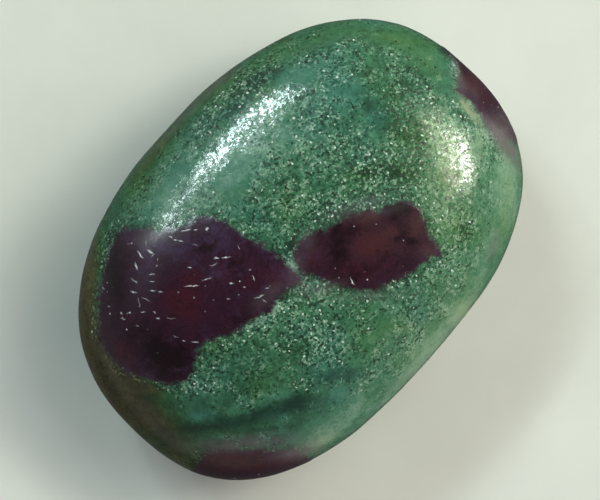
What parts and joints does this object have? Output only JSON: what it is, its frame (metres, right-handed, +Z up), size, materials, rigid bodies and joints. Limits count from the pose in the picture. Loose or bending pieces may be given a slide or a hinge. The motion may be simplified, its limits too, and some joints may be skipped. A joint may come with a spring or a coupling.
{
  "type": "ruby in zoisite palm stone",
  "caption": "Polished oval palm stone of green zoisite with dark ruby patches, domed on top and ground flat underneath to rest on.",
  "frame": {"origin": "in the plane of the resting flat, under the centre of the stone's box", "axes": "+X along the stone's long axis, +Y across it, +Z up from the resting flat through the domed crown"},
  "size_m": [0.04, 0.0284, 0.014],
  "materials": {
    "ruby_in_zoisite": "polished"
  },
  "bodies": {
    "root": {"palm_stone": "ruby_in_zoisite"}
  },
  "joints": []
}
